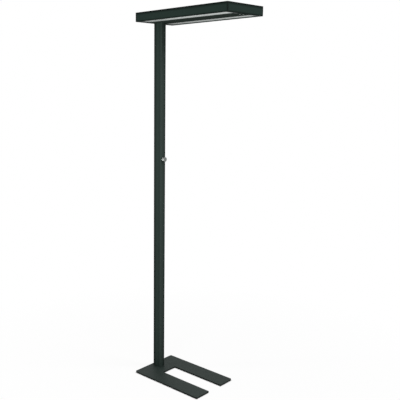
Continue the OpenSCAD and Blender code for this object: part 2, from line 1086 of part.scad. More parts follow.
module down_diffuser_near() {
    in_head()
        translate([0, 0, reveal])
            mirror([0, 1, 0])
                far_diffuser();
}

module up_diffuser_far() {
    in_head()
        translate([0, 0, head_h - lip_t - diffuser_t])
            far_diffuser();
}

module up_diffuser_near() {
    in_head()
        translate([0, 0, head_h - lip_t - diffuser_t])
            mirror([0, 1, 0])
                far_diffuser();
}

module top_cover() {
    color(anthracite)
        in_head()
            difference() {
                translate([beam_x, -spine_w / 2, head_h - lip_t])
                    cube([beam_len, spine_w, lip_t]);
                cover_screw_axes()
                    translate([0, 0, -1])
                        cylinder(h = lip_t + 2, r = m3_core_r + screw_gap);
                cover_screw_axes()
                    cylinder(h = cover_head_h + 0.1, r1 = cover_head_r + 0.2, r2 = m3_core_r + screw_gap);
            }
}

module cover_screws() {
    color(zinc)
        in_head()
            cover_screw_axes()
                difference() {
                    union() {
                        cylinder(h = cover_head_h, r1 = cover_head_r, r2 = m3_core_r);
                        cylinder(h = lip_t + flange_t + 2, r = m3_core_r);
                    }
                    hex_recess(0.45 * cover_head_r, 0.7 * cover_head_h);
                }
}

// ---- Driver, terminals and sensors ----

module driver() {
    case_edge = 3;
    color(reflector_white)
        in_head()
            difference() {
                union() {
                    translate([driver_x, 0, spine_floor_t])
                        along_x(driver_len)
                            polygon([[-driver_w / 2, 0], [driver_w / 2, 0],
                                     [driver_w / 2, driver_h - case_edge],
                                     [driver_w / 2 - case_edge, driver_h],
                                     [-driver_w / 2 + case_edge, driver_h],
                                     [-driver_w / 2, driver_h - case_edge]]);
                    translate([driver_x - ear_len, -driver_w / 2, spine_floor_t])
                        cube([driver_len + 2 * ear_len, driver_w, ear_t]);
                }
                driver_screw_axes()
                    translate([0, 0, -1])
                        cylinder(h = ear_t + 2, r = m3_core_r + screw_gap);
            }
}

module driver_screws() {
    color(zinc)
        in_head()
            driver_screw_axes()
                pan_screw(m3_core_r, m3_head_r, m3_head_h, ear_t + spine_floor_t - screw_tip_gap);
}

module terminal_block() {
    pole_pitch = 7;
    first_pole = 8;
    pole_hole_deep = 5;
    color(moulded_grey)
        in_head()
            difference() {
                translate([terminal_x, -terminal_size[1] / 2, spine_floor_t])
                    cube(terminal_size);
                for (pole = [0 : 2])
                    translate([terminal_x + first_pole + pole * pole_pitch, 0,
                               spine_floor_t + terminal_size[2] - pole_hole_deep])
                        cylinder(h = pole_hole_deep + 1, r = 2);
            }
}

module driver_lead() {
    lead_end_z = spine_floor_t + 12;
    color(lead_grey)
        in_head()
            lead([[terminal_x + terminal_size[0], 0, lead_end_z], [driver_x, 0, lead_end_z]], driver_lead_r);
}

// Output leads from the driver through the spine's walls to the chambers' waists
module board_leads() {
    lead_y = 6;
    color(lead_grey)
        in_head()
            both_sides()
                lead([[driver_x + driver_len, lead_y, mid_h],
                      [board_lead_x, lead_y, mid_h],
                      [board_lead_x, strip_mid - web_w / 2, mid_h]], board_lead_r);
}

module sensor_housing() {
    color(moulded_black)
        in_head()
            difference() {
                translate([sensor_x, -sensor_box[1] / 2, spine_floor_t])
                    cube(sensor_box);
                translate([sensor_x + sensor_wall, -sensor_box[1] / 2 + sensor_wall, spine_floor_t - 1])
                    cube([sensor_box[0] - 2 * sensor_wall, sensor_box[1] - 2 * sensor_wall,
                          sensor_box[2] - sensor_wall + 1]);
            }
}

module sensor_board() {
    board_z = spine_floor_t + sensor_box[2] - sensor_wall - board_t;
    sunk = 0.5;
    can_h = 3;
    eye_h = 2;
    color(board_green)
        in_head() {
            translate([sensor_x + sensor_wall + slide_gap, -sensor_box[1] / 2 + sensor_wall + slide_gap,
                       board_z])
                cube([sensor_box[0] - 2 * sensor_wall - 2 * slide_gap,
                      sensor_box[1] - 2 * sensor_wall - 2 * slide_gap, board_t]);
            translate([presence_at[0], presence_at[1], board_z - can_h])
                cylinder(h = can_h + sunk, r = 4);
            translate([daylight_at[0], daylight_at[1], board_z - eye_h])
                cylinder(h = eye_h + sunk, r = 1.5);
        }
}

// A lens with a flange inside and a low dome below the spine
module lens(d, dome_h) {
    r = d / 2;
    dome_r = (r * r + dome_h * dome_h) / (2 * dome_h);
    stem_in = 0.5;
    flange_rim = 1.2;
    intersection() {
        translate([0, 0, dome_r - dome_h])
            sphere(dome_r);
        translate([0, 0, -dome_h - 1])
            cylinder(h = dome_h + 2, r = r);
    }
    cylinder(h = spine_floor_t + stem_in, r = r);
    translate([0, 0, spine_floor_t])
        cylinder(h = 2 * stem_in, r = r + flange_rim);
}

module presence_lens() {
    color(opal)
        in_head()
            translate([presence_at[0], presence_at[1], 0])
                lens(presence_d, presence_dome_h);
}

module daylight_lens() {
    color(opal)
        in_head()
            translate([daylight_at[0], daylight_at[1], 0])
                lens(daylight_d, daylight_dome_h);
}

module sensor_lead() {
    lead_y = 10;
    lead_h = spine_floor_t + 8;
    color(lead_grey)
        in_head()
            lead([[driver_x + driver_len, lead_y, lead_h], [sensor_x, lead_y, lead_h]], board_lead_r);
}

base_plate();
base_pads();
base_screws();
mast();
cable_bushing();
mains_coupler();
mains_lead();
dimmer_housing();
dimmer_board();
push_switch();
push_plunger();
dimmer_shaft();
dimmer_washer();
dimmer_nut();
dimmer_knob();
knob_set_screw();
control_lead();
rail_near();
rail_far();
rail_mast_end();
rail_free_end();
corner_keys();
key_screws();
spine_beam();
spine_brackets();
slide_nuts();
bracket_screws();
mast_plate();
head_screws();
chamber_near();
chamber_far();
chamber_end_caps();
down_board_near();
down_board_far();
up_board_near();
up_board_far();
down_diffuser_near();
down_diffuser_far();
up_diffuser_near();
up_diffuser_far();
top_cover();
cover_screws();
driver();
driver_screws();
terminal_block();
driver_lead();
board_leads();
sensor_housing();
sensor_board();
presence_lens();
daylight_lens();
sensor_lead();
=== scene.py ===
"""Looks of the office floor lamp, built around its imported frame.

Everything is in metres in the frame's own axes: +X from the mast to the head's free end, +Z up,
the origin on the floor below the lamp's middle.
"""

import json
import math

import bmesh
import bpy
import numpy as np
from mathutils import Matrix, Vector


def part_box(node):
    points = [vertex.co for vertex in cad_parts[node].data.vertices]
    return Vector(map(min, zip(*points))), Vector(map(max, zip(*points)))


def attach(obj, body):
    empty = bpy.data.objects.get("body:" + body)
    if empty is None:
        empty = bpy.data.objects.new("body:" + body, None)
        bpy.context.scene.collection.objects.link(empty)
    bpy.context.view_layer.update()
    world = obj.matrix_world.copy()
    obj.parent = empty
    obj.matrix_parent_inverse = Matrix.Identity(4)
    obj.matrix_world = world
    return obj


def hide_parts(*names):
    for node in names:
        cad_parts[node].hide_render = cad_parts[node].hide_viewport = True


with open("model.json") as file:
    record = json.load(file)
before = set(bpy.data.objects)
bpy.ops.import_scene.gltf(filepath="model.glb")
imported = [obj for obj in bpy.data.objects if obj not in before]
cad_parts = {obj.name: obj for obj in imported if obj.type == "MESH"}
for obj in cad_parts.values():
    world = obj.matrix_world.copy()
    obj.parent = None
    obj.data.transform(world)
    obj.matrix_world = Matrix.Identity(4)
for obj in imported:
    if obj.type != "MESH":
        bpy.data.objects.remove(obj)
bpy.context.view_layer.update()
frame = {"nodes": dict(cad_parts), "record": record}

MM = 0.001
NODES = frame["nodes"]
RECORD = frame["record"]
BODY_OF = {node: body for body, nodes in RECORD["behaviour"]["bodies"].items() for node in nodes}

# Points this close are one point.
MERGE_WITHIN = 0.001 * MM

# In degrees: faces that turn by less than the first are one flat face, and edges that turn by more
# than the second are sharp. The third is for the knob, whose flutes turn more.
FLAT_WITHIN = 0.4
SHARP_FROM = 32
KNOB_SHARP_FROM = 40

# Faces across a rounded edge.
EDGE_SEGMENTS = 2


# ---- Places taken from the frame ----

def box_of(*names):
    """Lowest and highest corner of some nodes together, as two numpy rows."""
    lows, highs = zip(*(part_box(name) for name in names))
    return np.array([np.min(lows, axis=0), np.max(highs, axis=0)])


FOOT = box_of("base_plate")
MAST = box_of("mast")
HEAD = box_of("rail_near", "rail_far", "rail_mast_end", "rail_free_end")
KNOB = box_of("dimmer_knob")
KNOB_CENTRE = KNOB.mean(axis=0)

# The slot between the foot plate's prongs: its closed end from the plate's back, and half its width.
SLOT_FROM_BACK = 118 * MM
SLOT_HALF = 50 * MM


# ---- Objects ----

def in_scene(name, data):
    """Puts an object with this data in the scene, at the origin and unturned."""
    made = bpy.data.objects.new(name, data)
    bpy.context.scene.collection.objects.link(made)
    return made


def set_pose(thing, right, up, back, at):
    """Places a camera or a light by its three axes and its origin."""
    pose = np.eye(4)
    pose[:3] = np.stack([right, up, back, at], axis=1)
    thing.matrix_world = Matrix(pose.tolist())


# ---- Camera ----

# The photograph is 400 pixels square. Its optical axis lies left of the middle.
IMAGE_PX = 400
OPTICAL_AXIS_X_PX = 126.07
FOCAL_PX = 622.36
SENSOR_MM = 36
CAMERA_AT = (2.01886, -2.47616, 1.55982)
CAMERA_AZIMUTH = math.radians(45.58)
CAMERA_ELEVATION = math.radians(9.97)
CAMERA_ROLL = math.radians(-0.34)


def make_camera():
    """Camera at the photograph's viewing angle, from its azimuth, elevation and roll."""
    a, e, roll = CAMERA_AZIMUTH, CAMERA_ELEVATION, CAMERA_ROLL
    back = np.array([math.sin(a) * math.cos(e), -math.cos(a) * math.cos(e), math.sin(e)])
    level_right = np.array([math.cos(a), math.sin(a), 0])
    level_up = np.cross(back, level_right)
    right = math.cos(roll) * level_right + math.sin(roll) * level_up
    up = math.cos(roll) * level_up - math.sin(roll) * level_right
    data = bpy.data.cameras.new("camera")
    data.sensor_width = SENSOR_MM
    data.lens = FOCAL_PX / IMAGE_PX * SENSOR_MM
    data.shift_x = 0.5 - OPTICAL_AXIS_X_PX / IMAGE_PX
    camera = in_scene("camera", data)
    set_pose(camera, right, up, back, CAMERA_AT)
    bpy.context.scene.camera = camera


# ---- Shader maths ----

class Value:
    """A shader socket that Python's arithmetic works on. Each operation adds one Math node."""

    def __init__(self, tree, socket):
        self.tree = tree
        self.socket = socket

    def maths(self, operation, *others, clamp=False):
        """Result of a Math node with this value as its first input."""
        made = self.tree.nodes.new("ShaderNodeMath")
        made.operation = operation
        made.use_clamp = clamp
        for index, value in enumerate((self, *others)):
            feed(self.tree, made.inputs[index], value)
        return Value(self.tree, made.outputs[0])

    def __add__(self, other):
        return self.maths("ADD", other)

    def __sub__(self, other):
        return self.maths("SUBTRACT", other)

    def __rsub__(self, other):
        return self.maths("MULTIPLY", -1) + other

    def __mul__(self, other):
        return self.maths("MULTIPLY", other)

    def __truediv__(self, other):
        return self.maths("DIVIDE", other)

    def __pow__(self, other):
        return self.maths("POWER", other)

    def __abs__(self):
        return self.maths("ABSOLUTE")

    def least(self, other):
        """The smaller of two values."""
        return self.maths("MINIMUM", other)

    def most(self, other):
        """The larger of two values."""
        return self.maths("MAXIMUM", other)

    def clamped(self):
        """The value held between 0 and 1."""
        return self.maths("ADD", 0, clamp=True)

    def between(self, low, high):
        """A value from 0 to 1 carried to the range from low to high."""
        return self * (high - low) + low


def feed(tree, socket, value):
    """Links a Value to a socket, or writes a plain number or colour on it."""
    if isinstance(value, Value):
        tree.links.new(value.socket, socket)
    else:
        socket.default_value = value


class Finish:
    """A material being made. add() gives a node from its type, its settings and its sockets."""

    def __init__(self, name, **constants):
        self.material = bpy.data.materials.new(name)
        self.material.use_nodes = True
        self.tree = self.material.node_tree
        self.surface = self.tree.nodes["Principled BSDF"]
        self.set(**constants)

    def set(self, **sockets):
        """Writes or links sockets of the surface shader. Underscores stand for spaces."""
        for name, value in sockets.items():
            feed(self.tree, self.surface.inputs[name.replace("_", " ")], value)

    def add(self, kind, settings=None, out=0, **sockets):
        """Adds one node. Settings are set first, then the sockets are filled."""
        made = self.tree.nodes.new(kind)
        for name, value in (settings or {}).items():
            setattr(made, name, value)
        for name, value in sockets.items():
            feed(self.tree, made.inputs[name.replace("_", " ")], value)
        return Value(self.tree, made.outputs[out])

    def place(self):
        """Object coordinates, which are the frame's own for every piece here."""
        return self.add("ShaderNodeTexCoord", out="Object")

    def split(self, vector):
        """The three parts of a vector, as Values."""
        outputs = self.add("ShaderNodeSeparateXYZ", Vector=vector).socket.node.outputs
        return [Value(self.tree, outputs[i]) for i in range(3)]

    def axes(self):
        """Object coordinates as three Values."""
        return self.split(self.place())

    def noise(self, cells, detail=2.0, at=None):
        """Soft noise from 0 to 1, in cells to the metre."""
        return self.add("ShaderNodeTexNoise", Vector=at or self.place(), Scale=cells, Detail=detail)

    def blend(self, share, first, second):
        """A colour between two, by a share from 0 to 1."""
        made = self.tree.nodes.new("ShaderNodeMix")
        made.data_type = "RGBA"
        feed(self.tree, made.inputs[0], share)
        feed(self.tree, made.inputs[6], first)
        feed(self.tree, made.inputs[7], second)
        return Value(self.tree, made.outputs[2])

    def bump(self, height, depth, strength=1.0):
        """Turns a height from 0 to 1 into a normal. The depth is in metres."""
        self.set(Normal=self.add("ShaderNodeBump", Height=height, Distance=depth, Strength=strength))


def colour(red, green, blue):
    """Linear RGBA of a colour given as it looks on screen, from 0 to 255."""
    linear = [c / 255 / 12.92 if c <= 10 else ((c / 255 + 0.055) / 1.055) ** 2.4
              for c in (red, green, blue)]
    return (*linear, 1.0)


def middle_of_three(a, b, c):
    """The middle value of three, which on a box's face is the distance to its nearest edge."""
    return a.least(b).most(a.most(b).least(c))


# The upright part of a normal times this is 1 where a face slopes by 45 degrees.
SLOPE_GAIN = 1.4


def side_share(finish):
    """1 on upright faces, falling to 0 on faces that slope by 45 degrees or less."""
    upright = abs(finish.split(finish.add("ShaderNodeNewGeometry", out="Normal"))[2])
    return (1 - upright * SLOPE_GAIN).clamped()


def edge_closeness(finish, box, width):
    """1 on the edges of an upright box, falling to 0 at the given distance from them."""
    low, high = box
    middle, half = ((low + high) / 2).tolist(), ((high - low) / 2).tolist()
    spans = [abs(abs(axis - m) - h) for axis, m, h in zip(finish.axes(), middle, half)]
    return 1 - (middle_of_three(*spans) / width).clamped()


# ---- Powder coats ----

# Painted shade at the edges, the tone of rubbed wear and of the painted highlight, and how far a shade
# varies to each side.
EDGE_SHADE_TONE = colour(15, 21, 19)
RUBBED_AND_HIGHLIGHT_TONE = colour(78, 87, 83)
COAT_SPREAD = 3
# Painted shade on the foot plate's upright cut sides, and how strong it is.
PLATE_SIDE_SHADE = colour(14, 19, 17)
PLATE_SIDE_SHADE_SHARE = 0.85

# The share of a coat's variation that its flecks have. The rest is in its clouds.
FLECK_SHARE = 0.3

# How far the painted edge shade and the rubbed places reach from a box's edges, and how strong the
# latter are.
EDGE_SHADE_REACH = 9 * MM
RUBBED_REACH = 0.7 * MM
RUBBED_SHARE = 0.4

# A box's sides get painted shade below its top: it ends at the first depth, after fading over the
# second.
RIM_SHADE_END = 15.6 * MM
RIM_SHADE_FADE = 12 * MM


def cloudy(coat, darker, lighter):
    """The tone of a coat between two, in slow clouds with fine flecks."""
    cloud = coat.noise(cells=9, detail=3)
    fleck = coat.noise(cells=2600, detail=1)
    return coat.blend(cloud * (1 - FLECK_SHARE) + fleck * FLECK_SHARE, darker, lighter)


def sprayed(coat, tone, roughness):
    """Gives a coat its tone, a slightly uneven roughness and fine orange peel."""
    coat.set(Base_Color=tone, Roughness=coat.noise(cells=40, detail=3) * 0.1 + roughness)
    coat.bump(coat.noise(cells=1100, detail=2), depth=0.04 * MM, strength=0.5)
    return coat.material


def powder_coat(name, shade, gloss, roughness, box=None):
    """Anthracite powder coat around a shade. On a box it gets painted shade towards the edges and on the
    sides below the top, and is rubbed here and there along the edges."""
    coat = Finish(name, Specular_IOR_Level=gloss)
    darker, lighter = (colour(*(c + step for c in shade)) for step in (-COAT_SPREAD, COAT_SPREAD))
    tone = cloudy(coat, darker, lighter)
    if box is not None:
        below_top = box[1].tolist()[2] - coat.axes()[2]
        shade_below_rim = ((RIM_SHADE_END - below_top) / RIM_SHADE_FADE).clamped() * side_share(coat)
        # Painted shade: darker near the box's edges and on its sides below the top.
        tone = coat.blend(edge_closeness(coat, box, EDGE_SHADE_REACH).most(shade_below_rim), tone, EDGE_SHADE_TONE)
        patches = (coat.noise(cells=60, detail=4) * 3 - 1.3).clamped()
        rubbed = edge_closeness(coat, box, RUBBED_REACH) * patches * RUBBED_SHARE
        tone = coat.blend(rubbed, tone, RUBBED_AND_HIGHLIGHT_TONE)
    return sprayed(coat, tone, roughness)


def mast_coat():
    """Coat of the mast. It has painted shade towards its upright edges, less on its back face, and a
    painted highlight along the near edge of its front face, where the painted shade fades out and the
    coat is smoother."""
    shade_reach, unshaded_corner_reach = 23 * MM, 30 * MM
    back_skin, back_share = 0.5 * MM, 0.4
    highlight_depth, highlight_width, highlight_share, highlight_smoothing = 11 * MM, 36 * MM, 0.24, 0.15
    coat = Finish("mast_coat", Specular_IOR_Level=0.03)
    (back, near, _), (front, far, _) = MAST.tolist()
    x, y, _ = coat.axes()
    from_back, from_front = x - back, front - x
    from_near, from_far = y - near, far - y
    to_edge = from_back.least(from_front).most(from_near.least(from_far))
    to_highlit_corner = from_front.most(from_near)
    off_back = (from_back / back_skin).clamped().between(back_share, 1)
    # Painted shade near the upright edges, less on the back face, fading out towards the near front
    # corner.
    dark = (1 - (to_edge / shade_reach).clamped()) * (to_highlit_corner / unshaded_corner_reach).clamped() * off_back
    # Painted highlight along the near edge of the front face, where the coat is also made smoother.
    painted_highlight = 1 - (from_front / highlight_depth).most(from_near / highlight_width).clamped()
    tone = coat.blend(dark, cloudy(coat, colour(37, 48, 44), colour(43, 54, 50)), EDGE_SHADE_TONE)
    tone = coat.blend(painted_highlight * highlight_share, tone, RUBBED_AND_HIGHLIGHT_TONE)
    return sprayed(coat, tone, roughness=0.65 - painted_highlight * highlight_smoothing)


def plate_coat():
    """Coat of the foot plate: its top a little darker than the mast, its upright cut sides painted much
    darker as shade.
    """
    coat = Finish("plate_coat", Specular_IOR_Level=0.12)
    tone = cloudy(coat, colour(32, 40, 37), colour(39, 47, 44))
    # Painted shade on the upright cut sides.
    tone = coat.blend(side_share(coat) * PLATE_SIDE_SHADE_SHARE, tone, PLATE_SIDE_SHADE)
    return sprayed(coat, tone, roughness=0.56)


# ---- Other finishes ----

RINGS_TO_THE_METRE = 5200

# The light strips start this far from the mast's end of the head, and painted shade darkens them over
# the next length.
STRIP_START = 15 * MM
STRIP_END_SHADE_LENGTH = 90 * MM

# Painted shade along the light strips: their tone at the mast's end next to that at the free end, and
# what they lose over the head's width.
STRIP_MAST_END_TONE = 0.65
STRIP_FAR_SHADE = 0.55


def moulded(name, shade, roughness=0.43):
    """Moulded plastic: spark-eroded grain and a faint change of sheen above the given roughness."""
    plastic = Finish(name, Specular_IOR_Level=0.4)
    cloud = plastic.noise(cells=30, detail=3)
    darker = (*(c * 0.85 for c in shade[:3]), 1.0)
    plastic.set(Base_Color=plastic.blend(cloud, darker, shade),
                Roughness=cloud.between(roughness, roughness + 0.15))
    plastic.bump(plastic.noise(cells=1800, detail=1), depth=0.03 * MM, strength=0.6)
    return plastic.material


def pad_rubber():
    """Black foam rubber, with fine pores and dust."""
    rubber = Finish("pad_rubber", Specular_IOR_Level=0.3)
    pores = rubber.noise(cells=1500, detail=3)
    dust = rubber.noise(cells=50, detail=4)
    rubber.set(Base_Color=rubber.blend(dust, colour(24, 25, 25), colour(44, 45, 44)),
               Roughness=pores.between(0.7, 0.9))
    rubber.bump(pores, depth=0.12 * MM)
    return rubber.material


def zinc_plate():
    """Zinc plated steel: grey with a spangle and small scuffs."""
    zinc = Finish("zinc_plate", Metallic=1.0)
    spangle = zinc.noise(cells=260, detail=2)
    zinc.set(Base_Color=zinc.blend(spangle, colour(138, 142, 144), colour(186, 190, 190)),
             Roughness=spangle.between(0.28, 0.48))
    zinc.bump(zinc.noise(cells=900, detail=3), depth=0.02 * MM, strength=0.5)
    return zinc.material


def turned_steel(name, dark, light, roughness):
    """Turned steel, satin plated: fine rings around the dimmer's axis, from the given roughness up."""
    steel = Finish(name, Metallic=1.0)
    _, y, z = steel.axes()
    up = z - KNOB_CENTRE.tolist()[2]
    radius = (y * y + up * up) ** 0.5
    rings = steel.add("ShaderNodeTexNoise", settings={"noise_dimensions": "1D"},
                      W=radius * RINGS_TO_THE_METRE, Scale=1.0, Detail=1.0)
    steel.set(Base_Color=steel.blend(steel.noise(cells=120, detail=2), dark, light),
              Roughness=rings.between(roughness, roughness + 0.12))
    steel.bump(rings, depth=0.012 * MM, strength=0.7)
    return steel.material


def opal_sheet(name, lit, dim):
    """Opal diffuser: satin, with shallow lens-shaped dimples, and painted darker towards the mast and
    the far side as painted shade."""
    opal = Finish(name, Specular_IOR_Level=0.2)
    dimples = opal.add("ShaderNodeTexVoronoi", settings={"feature": "SMOOTH_F1"}, Vector=opal.place(),
                       Scale=420.0)
    along, across, _ = opal.axes()
    (back, near, _), (length, width, _) = HEAD[0].tolist(), (HEAD[1] - HEAD[0]).tolist()
    past_start = ((along - (back + STRIP_START)) / STRIP_END_SHADE_LENGTH).clamped()
    to_free_end, to_far = (along - back) / length, (across - near) / width
    uneven = opal.noise(cells=6, detail=2) * 0.1
    # Painted shade: darker towards the mast's end and the far side, with an uneven random tone on top.
    share = past_start * to_free_end.between(STRIP_MAST_END_TONE, 1) - to_far * STRIP_FAR_SHADE + uneven
    opal.set(Base_Color=opal.blend(share.clamped(), dim, lit),
             Roughness=opal.noise(cells=80, detail=2).between(0.45, 0.55))
    opal.bump(dimples, depth=0.1 * MM, strength=0.5)
    return opal.material


def milky_lens(name, dark, light):
    """Sensor lenses: milky moulded plastic with a faint cloud in it."""
    lens = Finish(name, Specular_IOR_Level=0.3)
    cloud = lens.noise(cells=300, detail=2)
    lens.set(Base_Color=lens.blend(cloud, dark, light), Roughness=cloud.between(0.3, 0.4))
    lens.bump(lens.noise(cells=2500, detail=1), depth=0.01 * MM, strength=0.4)
    return lens.material


def white_coat(name, shade):
    """White reflecting coat, with a faint speckle."""
    white = Finish(name, Specular_IOR_Level=0.4)
    darker = colour(*(c - 10 for c in shade))
    white.set(Base_Color=white.blend(white.noise(cells=70, detail=3), darker, colour(*shade)),
              Roughness=white.noise(cells=200, detail=2).between(0.42, 0.52))
    white.bump(white.noise(cells=1400, detail=1), depth=0.02 * MM, strength=0.5)
    return white.material


def board_laminate():
    """Green solder mask over copper tracks, drawn as a fine grid of lines."""
    board = Finish("board_laminate", Specular_IOR_Level=0.5)
    tracks = board.add("ShaderNodeTexBrick", out="Fac", Vector=board.place(), Scale=190.0,
                       Mortar_Size=0.03)
    board.set(Base_Color=board.blend(tracks, colour(30, 92, 62), colour(52, 126, 84)),
              Roughness=board.noise(cells=300).between(0.3, 0.45))
    board.bump(tracks, depth=0.03 * MM)
    return board.material


def lead_jacket():
    """Extruded cable jacket: matt grey with faint drag marks, drawn out along Z."""
    jacket = Finish("lead_jacket", Specular_IOR_Level=0.35)
    drawn_out = jacket.add("ShaderNodeMapping", Vector=jacket.place(), Scale=(700, 700, 30))
    drag = jacket.noise(cells=1.0, detail=2, at=drawn_out)
    jacket.set(Base_Color=jacket.blend(drag, colour(82, 86, 88), colour(104, 108, 110)),
               Roughness=drag.between(0.45, 0.6))
    jacket.bump(drag, depth=0.03 * MM)
    return jacket.material


# ---- Making pieces ----

def set_material(mesh, material):
    """Gives a mesh one material."""
    mesh.materials.clear()
    mesh.materials.append(material)


def stand_in(piece, material, node):
    """Gives a piece its material and the body of the CAD node that it replaces, and hides that node."""
    set_material(piece.data, material)
    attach(piece, BODY_OF[node])
    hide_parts(node)


def grid_mesh(name, points):
    """Mesh of a grid of points, rows by columns by three: a quad between each point and the next ones.

    The last column joins the first. Points that fall together are merged, so a row on the axis becomes
    a closed pole.
    """
    rows, columns = points.shape[:2]
    row, column = np.meshgrid(np.arange(rows - 1), np.arange(columns), indexing="ij")
    beside = (column + 1) % columns
    quads = np.stack([row * columns + column, row * columns + beside,
                      (row + 1) * columns + beside, (row + 1) * columns + column], axis=-1)
    mesh = bpy.data.meshes.new(name)
    mesh.from_pydata(points.reshape(-1, 3), [], quads.reshape(-1, 4))
    form = bmesh.new()
    form.from_mesh(mesh)
    bmesh.ops.remove_doubles(form, verts=form.verts, dist=MERGE_WITHIN)
    bmesh.ops.recalc_face_normals(form, faces=form.faces)
    form.to_mesh(mesh)
    form.free()
    return mesh


def smoothed(mesh, sharpest):
    """Smooth shading, kept sharp where faces turn by more than an angle in degrees."""
    mesh.shade_smooth()
    mesh.set_sharp_from_angle(angle=math.radians(sharpest))
    return mesh


def softened(node, name, material, edge):
    """Copy of a CAD node with its loose triangles merged and its sharp edges rounded to a width."""
    mesh = NODES[node].data.copy()
    normals = mesh.attributes.get("custom_normal")
    if normals:
        mesh.attributes.remove(normals)
    form = bmesh.new()
    form.from_mesh(mesh)
    bmesh.ops.remove_doubles(form, verts=form.verts, dist=MERGE_WITHIN)
    bmesh.ops.dissolve_limit(form, angle_limit=math.radians(FLAT_WITHIN), verts=form.verts,
                             edges=form.edges)
    form.to_mesh(mesh)
    form.free()
    piece = in_scene(name, smoothed(mesh, SHARP_FROM))
    rounding = piece.modifiers.new("edges", "BEVEL")
    rounding.width = edge
    rounding.segments = EDGE_SEGMENTS
    rounding.limit_method = "ANGLE"
    rounding.angle_limit = math.radians(SHARP_FROM)
    rounding.harden_normals = True
    stand_in(piece, material, node)


# ---- The turned knob ----

# Lengths run from the knob's back face. The grip is fluted, and ends short of the rounded front edge.
KNOB_LENGTH, KNOB_WIDTH, _ = (KNOB[1] - KNOB[0]).tolist()
KNOB_RADIUS = KNOB_WIDTH / 2
KNOB_BEVEL = 1.2 * MM
KNOB_BACK_CHAMFER = 0.4 * MM
KNOB_RECESS = 4.2 * MM
KNOB_RECESS_RADIUS = 6.9 * MM
KNOB_BORE_RADIUS = 3.05 * MM
KNOB_FRONT_WALL = 2.5 * MM
GROOVE_FROM, GROOVE_TO = 3.0 * MM, 4.2 * MM
GROOVE_SLOPE = 0.25 * MM
GROOVE_DEPTH = 0.5 * MM
GRIP_FROM, GRIP_TO = 4.6 * MM, KNOB_LENGTH - KNOB_BEVEL - 0.6 * MM
DISH_RADIUS = KNOB_RADIUS - KNOB_BEVEL - 1.2 * MM
DISH_DEPTH = 0.5 * MM
DISH_POWER = 6
FLUTES = 72
POINTS_TO_A_FLUTE = 6
FLUTE_DEPTH = 0.22 * MM
SCREW_HOLE_RADIUS = 1.6 * MM
SCREW_HOLE_TURN = 1.5 * math.pi
HOLE_BELOW_SCREW = 0.2 * MM
BEVEL_ROWS, GRIP_ROWS, DISH_ROWS = 7, 36, 14

# Rows this close to the grip's ends and radius belong to it.
GRIP_WITHIN = 0.01 * MM


def knob_profile():
    """Closed half section of the knob, as rows of (distance from its back face, radius).

    It runs from the recess out round the back rim, along the groove and the grip, over the front edge in
    a quarter circle, down the dished front to the axis, and back along the bore. The dish lies back by
    its depth * (1 - s ^ power), with s going from 1 at its rim to 0 on the axis.
    """
    r, front = KNOB_RADIUS, KNOB_LENGTH
    rim = [(KNOB_RECESS, KNOB_RECESS_RADIUS), (0.0, KNOB_RECESS_RADIUS), (0.0, r - KNOB_BACK_CHAMFER),
           (KNOB_BACK_CHAMFER, r)]
    groove = [(GROOVE_FROM, r), (GROOVE_FROM + GROOVE_SLOPE, r - GROOVE_DEPTH),
              (GROOVE_TO - GROOVE_SLOPE, r - GROOVE_DEPTH), (GROOVE_TO, r)]
    grip = [(d, r) for d in np.linspace(GRIP_FROM, GRIP_TO, GRIP_ROWS)]
    turn = np.linspace(0, math.pi / 2, BEVEL_ROWS)
    edge = np.stack([front - KNOB_BEVEL * (1 - np.sin(turn)), r - KNOB_BEVEL * (1 - np.cos(turn))],
                    axis=1)
    s = np.linspace(1, 0, DISH_ROWS)
    dish = np.stack([front - DISH_DEPTH * (1 - s ** DISH_POWER), DISH_RADIUS * s], axis=1)
    bore = [(front - KNOB_FRONT_WALL, 0), (front - KNOB_FRONT_WALL, KNOB_BORE_RADIUS),
            (KNOB_RECESS, KNOB_BORE_RADIUS), (KNOB_RECESS, KNOB_RECESS_RADIUS)]
    return np.array(rim + groove + grip + edge.tolist() + dish.tolist() + bore)


def turned_knob(material):
    """The dimmer's knob: its section carried round the axis, with fine flutes along the grip and the
    hole of its set screw.

    A point at distance d, radius r and turn t lies at back + d along +X, and off the axis by
    r - depth * flute(t) * band(d), where flute is the square of a cosine and band is 1 on the grip.
    Points of the grip within the hole's radius of its middle, which lies at the lowest turn, sink to
    just below the screw.
    """
    distance, radius = knob_profile().T[:, :, None]
    turns = np.linspace(0, 2 * math.pi, FLUTES * POINTS_TO_A_FLUTE, endpoint=False)
    band = ((distance > GRIP_FROM - GRIP_WITHIN) & (distance < GRIP_TO + GRIP_WITHIN)
            & (radius > KNOB_RADIUS - GRIP_WITHIN))
    around = radius - FLUTE_DEPTH * np.cos(turns * FLUTES / 2) ** 2 * band
    screw = box_of("knob_set_screw")
    from_hole = np.hypot(distance - (screw.mean(axis=0) - KNOB[0])[0],
                         radius * (turns - SCREW_HOLE_TURN))
    sunk = KNOB_CENTRE[2] - screw[0][2] - HOLE_BELOW_SCREW
    around = np.where(band & (from_hole < SCREW_HOLE_RADIUS), sunk, around)
    points = np.stack([KNOB[0][0] + distance + 0 * around, KNOB_CENTRE[1] + around * np.cos(turns),
                       KNOB_CENTRE[2] + around * np.sin(turns)], axis=-1)
    mesh = smoothed(grid_mesh("turned_knob", points), KNOB_SHARP_FROM)
    stand_in(in_scene("turned_knob", mesh), material, "dimmer_knob")


# ---- The presence sensor's lens ----

LENS_RINGS, LENS_FACETS = 7, 18
LENS_STEEPEST = math.radians(80)


